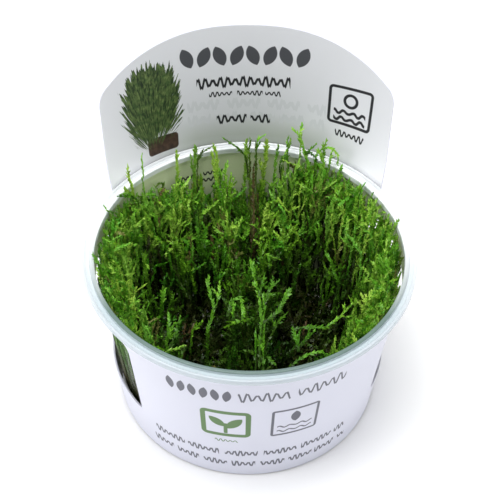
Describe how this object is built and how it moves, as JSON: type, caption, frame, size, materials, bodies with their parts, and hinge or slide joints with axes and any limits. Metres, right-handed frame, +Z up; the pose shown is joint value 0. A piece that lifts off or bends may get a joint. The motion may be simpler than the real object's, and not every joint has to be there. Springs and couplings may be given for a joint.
{
  "type": "potted aquarium moss",
  "caption": "Cushion of bright green aquarium moss shoots growing in a clear round plastic cup, wrapped in a white card sleeve with side openings and a tall arched back.",
  "frame": {"origin": "centre of the cup's flat base", "axes": "+Z up along the cup's axis, -Y towards the front of the sleeve, +X to the right seen from the front"},
  "size_m": [0.1, 0.1047, 0.0996],
  "materials": {
    "clear_plastic": "gloss",
    "printed_card": "satin",
    "moss_stems": "matte",
    "moss_shoots": "satin"
  },
  "bodies": {
    "root": {"cup": "clear_plastic", "card_sleeve": "printed_card", "moss_mat": "moss_stems", "moss_wall_clump_01": "moss_shoots", "moss_wall_clump_02": "moss_shoots", "moss_wall_clump_03": "moss_shoots", "moss_wall_clump_04": "moss_shoots", "moss_wall_clump_05": "moss_shoots", "moss_wall_clump_06": "moss_shoots", "moss_wall_clump_07": "moss_shoots", "moss_wall_clump_08": "moss_shoots", "moss_wall_clump_09": "moss_shoots", "moss_wall_clump_10": "moss_shoots", "moss_wall_clump_11": "moss_shoots", "moss_wall_clump_12": "moss_shoots", "moss_wall_clump_13": "moss_shoots", "moss_wall_clump_14": "moss_shoots", "moss_middle_clump_01": "moss_shoots", "moss_middle_clump_02": "moss_shoots", "moss_middle_clump_03": "moss_shoots", "moss_middle_clump_04": "moss_shoots", "moss_middle_clump_05": "moss_shoots", "moss_middle_clump_06": "moss_shoots", "moss_middle_clump_07": "moss_shoots", "moss_middle_clump_08": "moss_shoots", "moss_middle_clump_09": "moss_shoots", "moss_inner_clump_01": "moss_shoots", "moss_inner_clump_02": "moss_shoots", "moss_inner_clump_03": "moss_shoots", "moss_inner_clump_04": "moss_shoots", "moss_inner_clump_05": "moss_shoots"}
  },
  "joints": []
}
